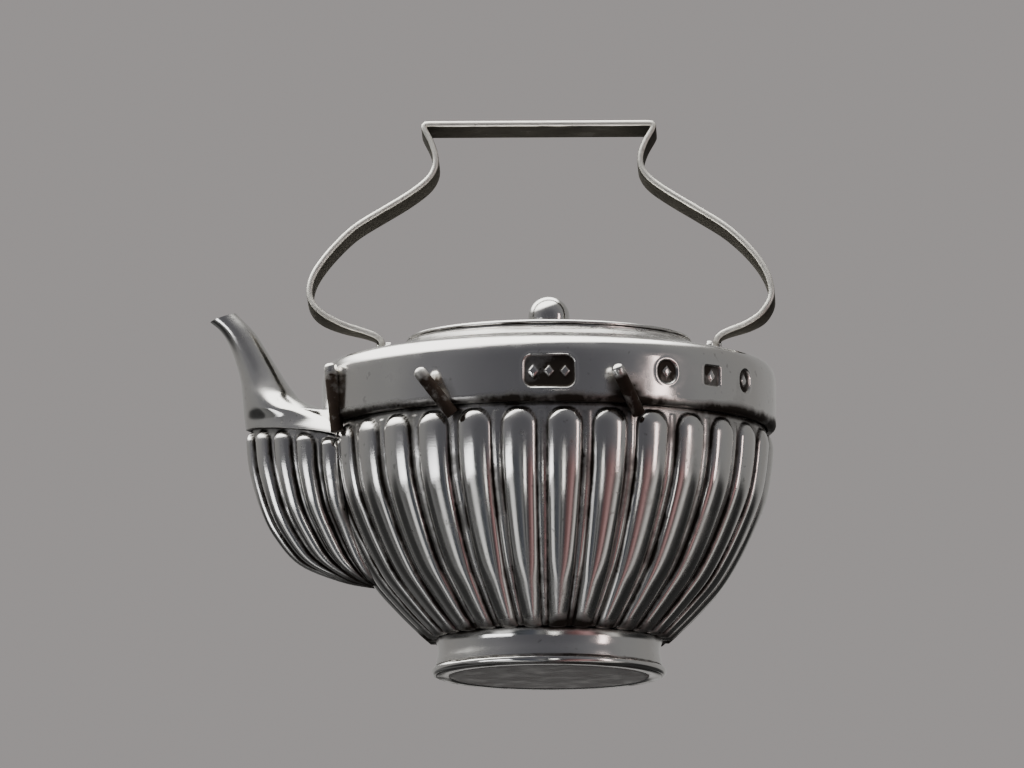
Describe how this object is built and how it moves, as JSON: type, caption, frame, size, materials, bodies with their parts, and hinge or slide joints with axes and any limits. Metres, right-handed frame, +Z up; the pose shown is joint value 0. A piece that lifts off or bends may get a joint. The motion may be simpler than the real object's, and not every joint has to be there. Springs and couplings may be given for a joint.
{
  "type": "miniature kettle",
  "caption": "Miniature fluted round kettle with a plain shoulder band, fluted spout base, swan-neck spout, flat strap swing handle and domed lift-off lid with a ball knob.",
  "frame": {"origin": "centre of the flat underside of the foot, on the kettle's axis", "axes": "+Z up along the kettle's axis, -X along the spout, so the strap handle lies across X and swings about X, +Y to the back"},
  "size_m": [0.0474, 0.0398, 0.0472],
  "materials": {
    "fluted_silver": "worn polished silver, dark in the channels",
    "plain_silver": "worn polished silver with fine scratches",
    "peg_silver": "cut silver wire, dull and tarnished",
    "strap_silver": "drawn silver strip, dull on its flats",
    "lid_silver": "worn polished silver"
  },
  "bodies": {
    "kettle": {"bowl_fluted": "fluted_silver", "shoulder_band": "plain_silver", "mouth_collar": "plain_silver", "foot_ring": "plain_silver", "foot_bead": "plain_silver", "foot_base_plate": "plain_silver", "spout_lobe": "fluted_silver", "spout_neck": "plain_silver", "peg_1": "peg_silver", "peg_2": "peg_silver", "peg_3": "peg_silver", "peg_4": "peg_silver", "peg_5": "peg_silver", "peg_6": "peg_silver", "bail_lug_spout_side": "plain_silver", "bail_lug_far_side": "plain_silver", "bail_pin_spout_side": "plain_silver", "bail_pin_far_side": "plain_silver"},
    "bail": {"bail_strap": "strap_silver"},
    "lid": {"lid_dome": "lid_silver", "lid_bezel": "lid_silver", "finial_collar": "lid_silver", "finial_ball": "lid_silver"}
  },
  "joints": [
    {"name": "bail_swing", "type": "hinge", "parent": "kettle", "child": "bail", "pos_m": [0, 0, 0.02775], "axis": [1, 0, 0], "range_deg": [-71, 89]},
    {"name": "lid_lift", "type": "slide", "parent": "kettle", "child": "lid", "axis": [0, 0, 1], "range_m": [0, 0.01]}
  ]
}
